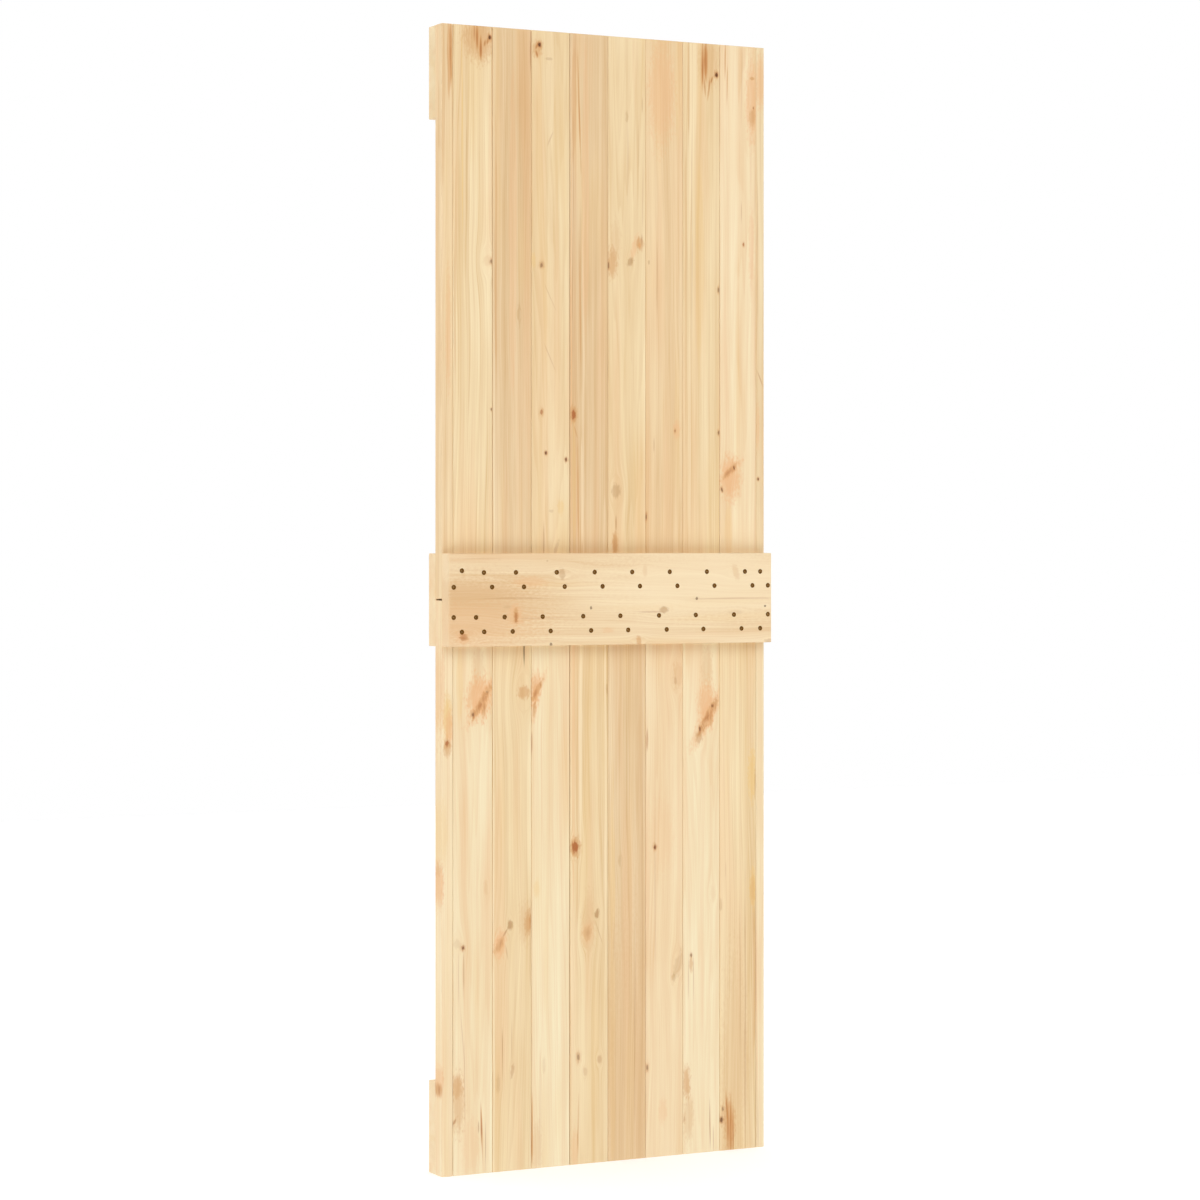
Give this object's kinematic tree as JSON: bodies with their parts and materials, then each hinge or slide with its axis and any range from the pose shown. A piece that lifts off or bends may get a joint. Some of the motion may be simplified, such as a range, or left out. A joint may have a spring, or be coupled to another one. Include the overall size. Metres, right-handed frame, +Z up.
{
  "type": "boarded sliding door leaf",
  "caption": "Sliding door leaf of upright tongue and groove pine boards in two half height sets, held together by cross rails and countersunk screws.",
  "frame": {"origin": "middle of the top rail's outer face, the face that the hangers bolt to", "axes": "+X along the door's width, to the right seen from the side with one rail; +Y out of the side with three rails; +Z up"},
  "size_m": [0.68, 0.084, 2.1],
  "materials": {
    "board_pine": "planed natural pine, unfinished, with knots and upright grain",
    "rail_pine": "planed natural pine, unfinished, with level grain",
    "screw_steel": "yellow passivated steel, dark in the recess"
  },
  "bodies": {
    "root": {"upper_left_strip": "board_pine", "upper_board_1": "board_pine", "upper_board_2": "board_pine", "upper_board_3": "board_pine", "upper_board_4": "board_pine", "upper_board_5": "board_pine", "upper_board_6": "board_pine", "upper_board_7": "board_pine", "upper_board_8": "board_pine", "upper_right_strip": "board_pine", "lower_left_strip": "board_pine", "lower_board_1": "board_pine", "lower_board_2": "board_pine", "lower_board_3": "board_pine", "lower_board_4": "board_pine", "lower_board_5": "board_pine", "lower_board_6": "board_pine", "lower_board_7": "board_pine", "lower_board_8": "board_pine", "lower_right_strip": "board_pine", "top_rail": "rail_pine", "middle_rail_front": "rail_pine", "middle_rail_back": "rail_pine", "bottom_rail": "rail_pine", "upper_screws": "screw_steel", "lower_screws": "screw_steel"}
  },
  "joints": []
}
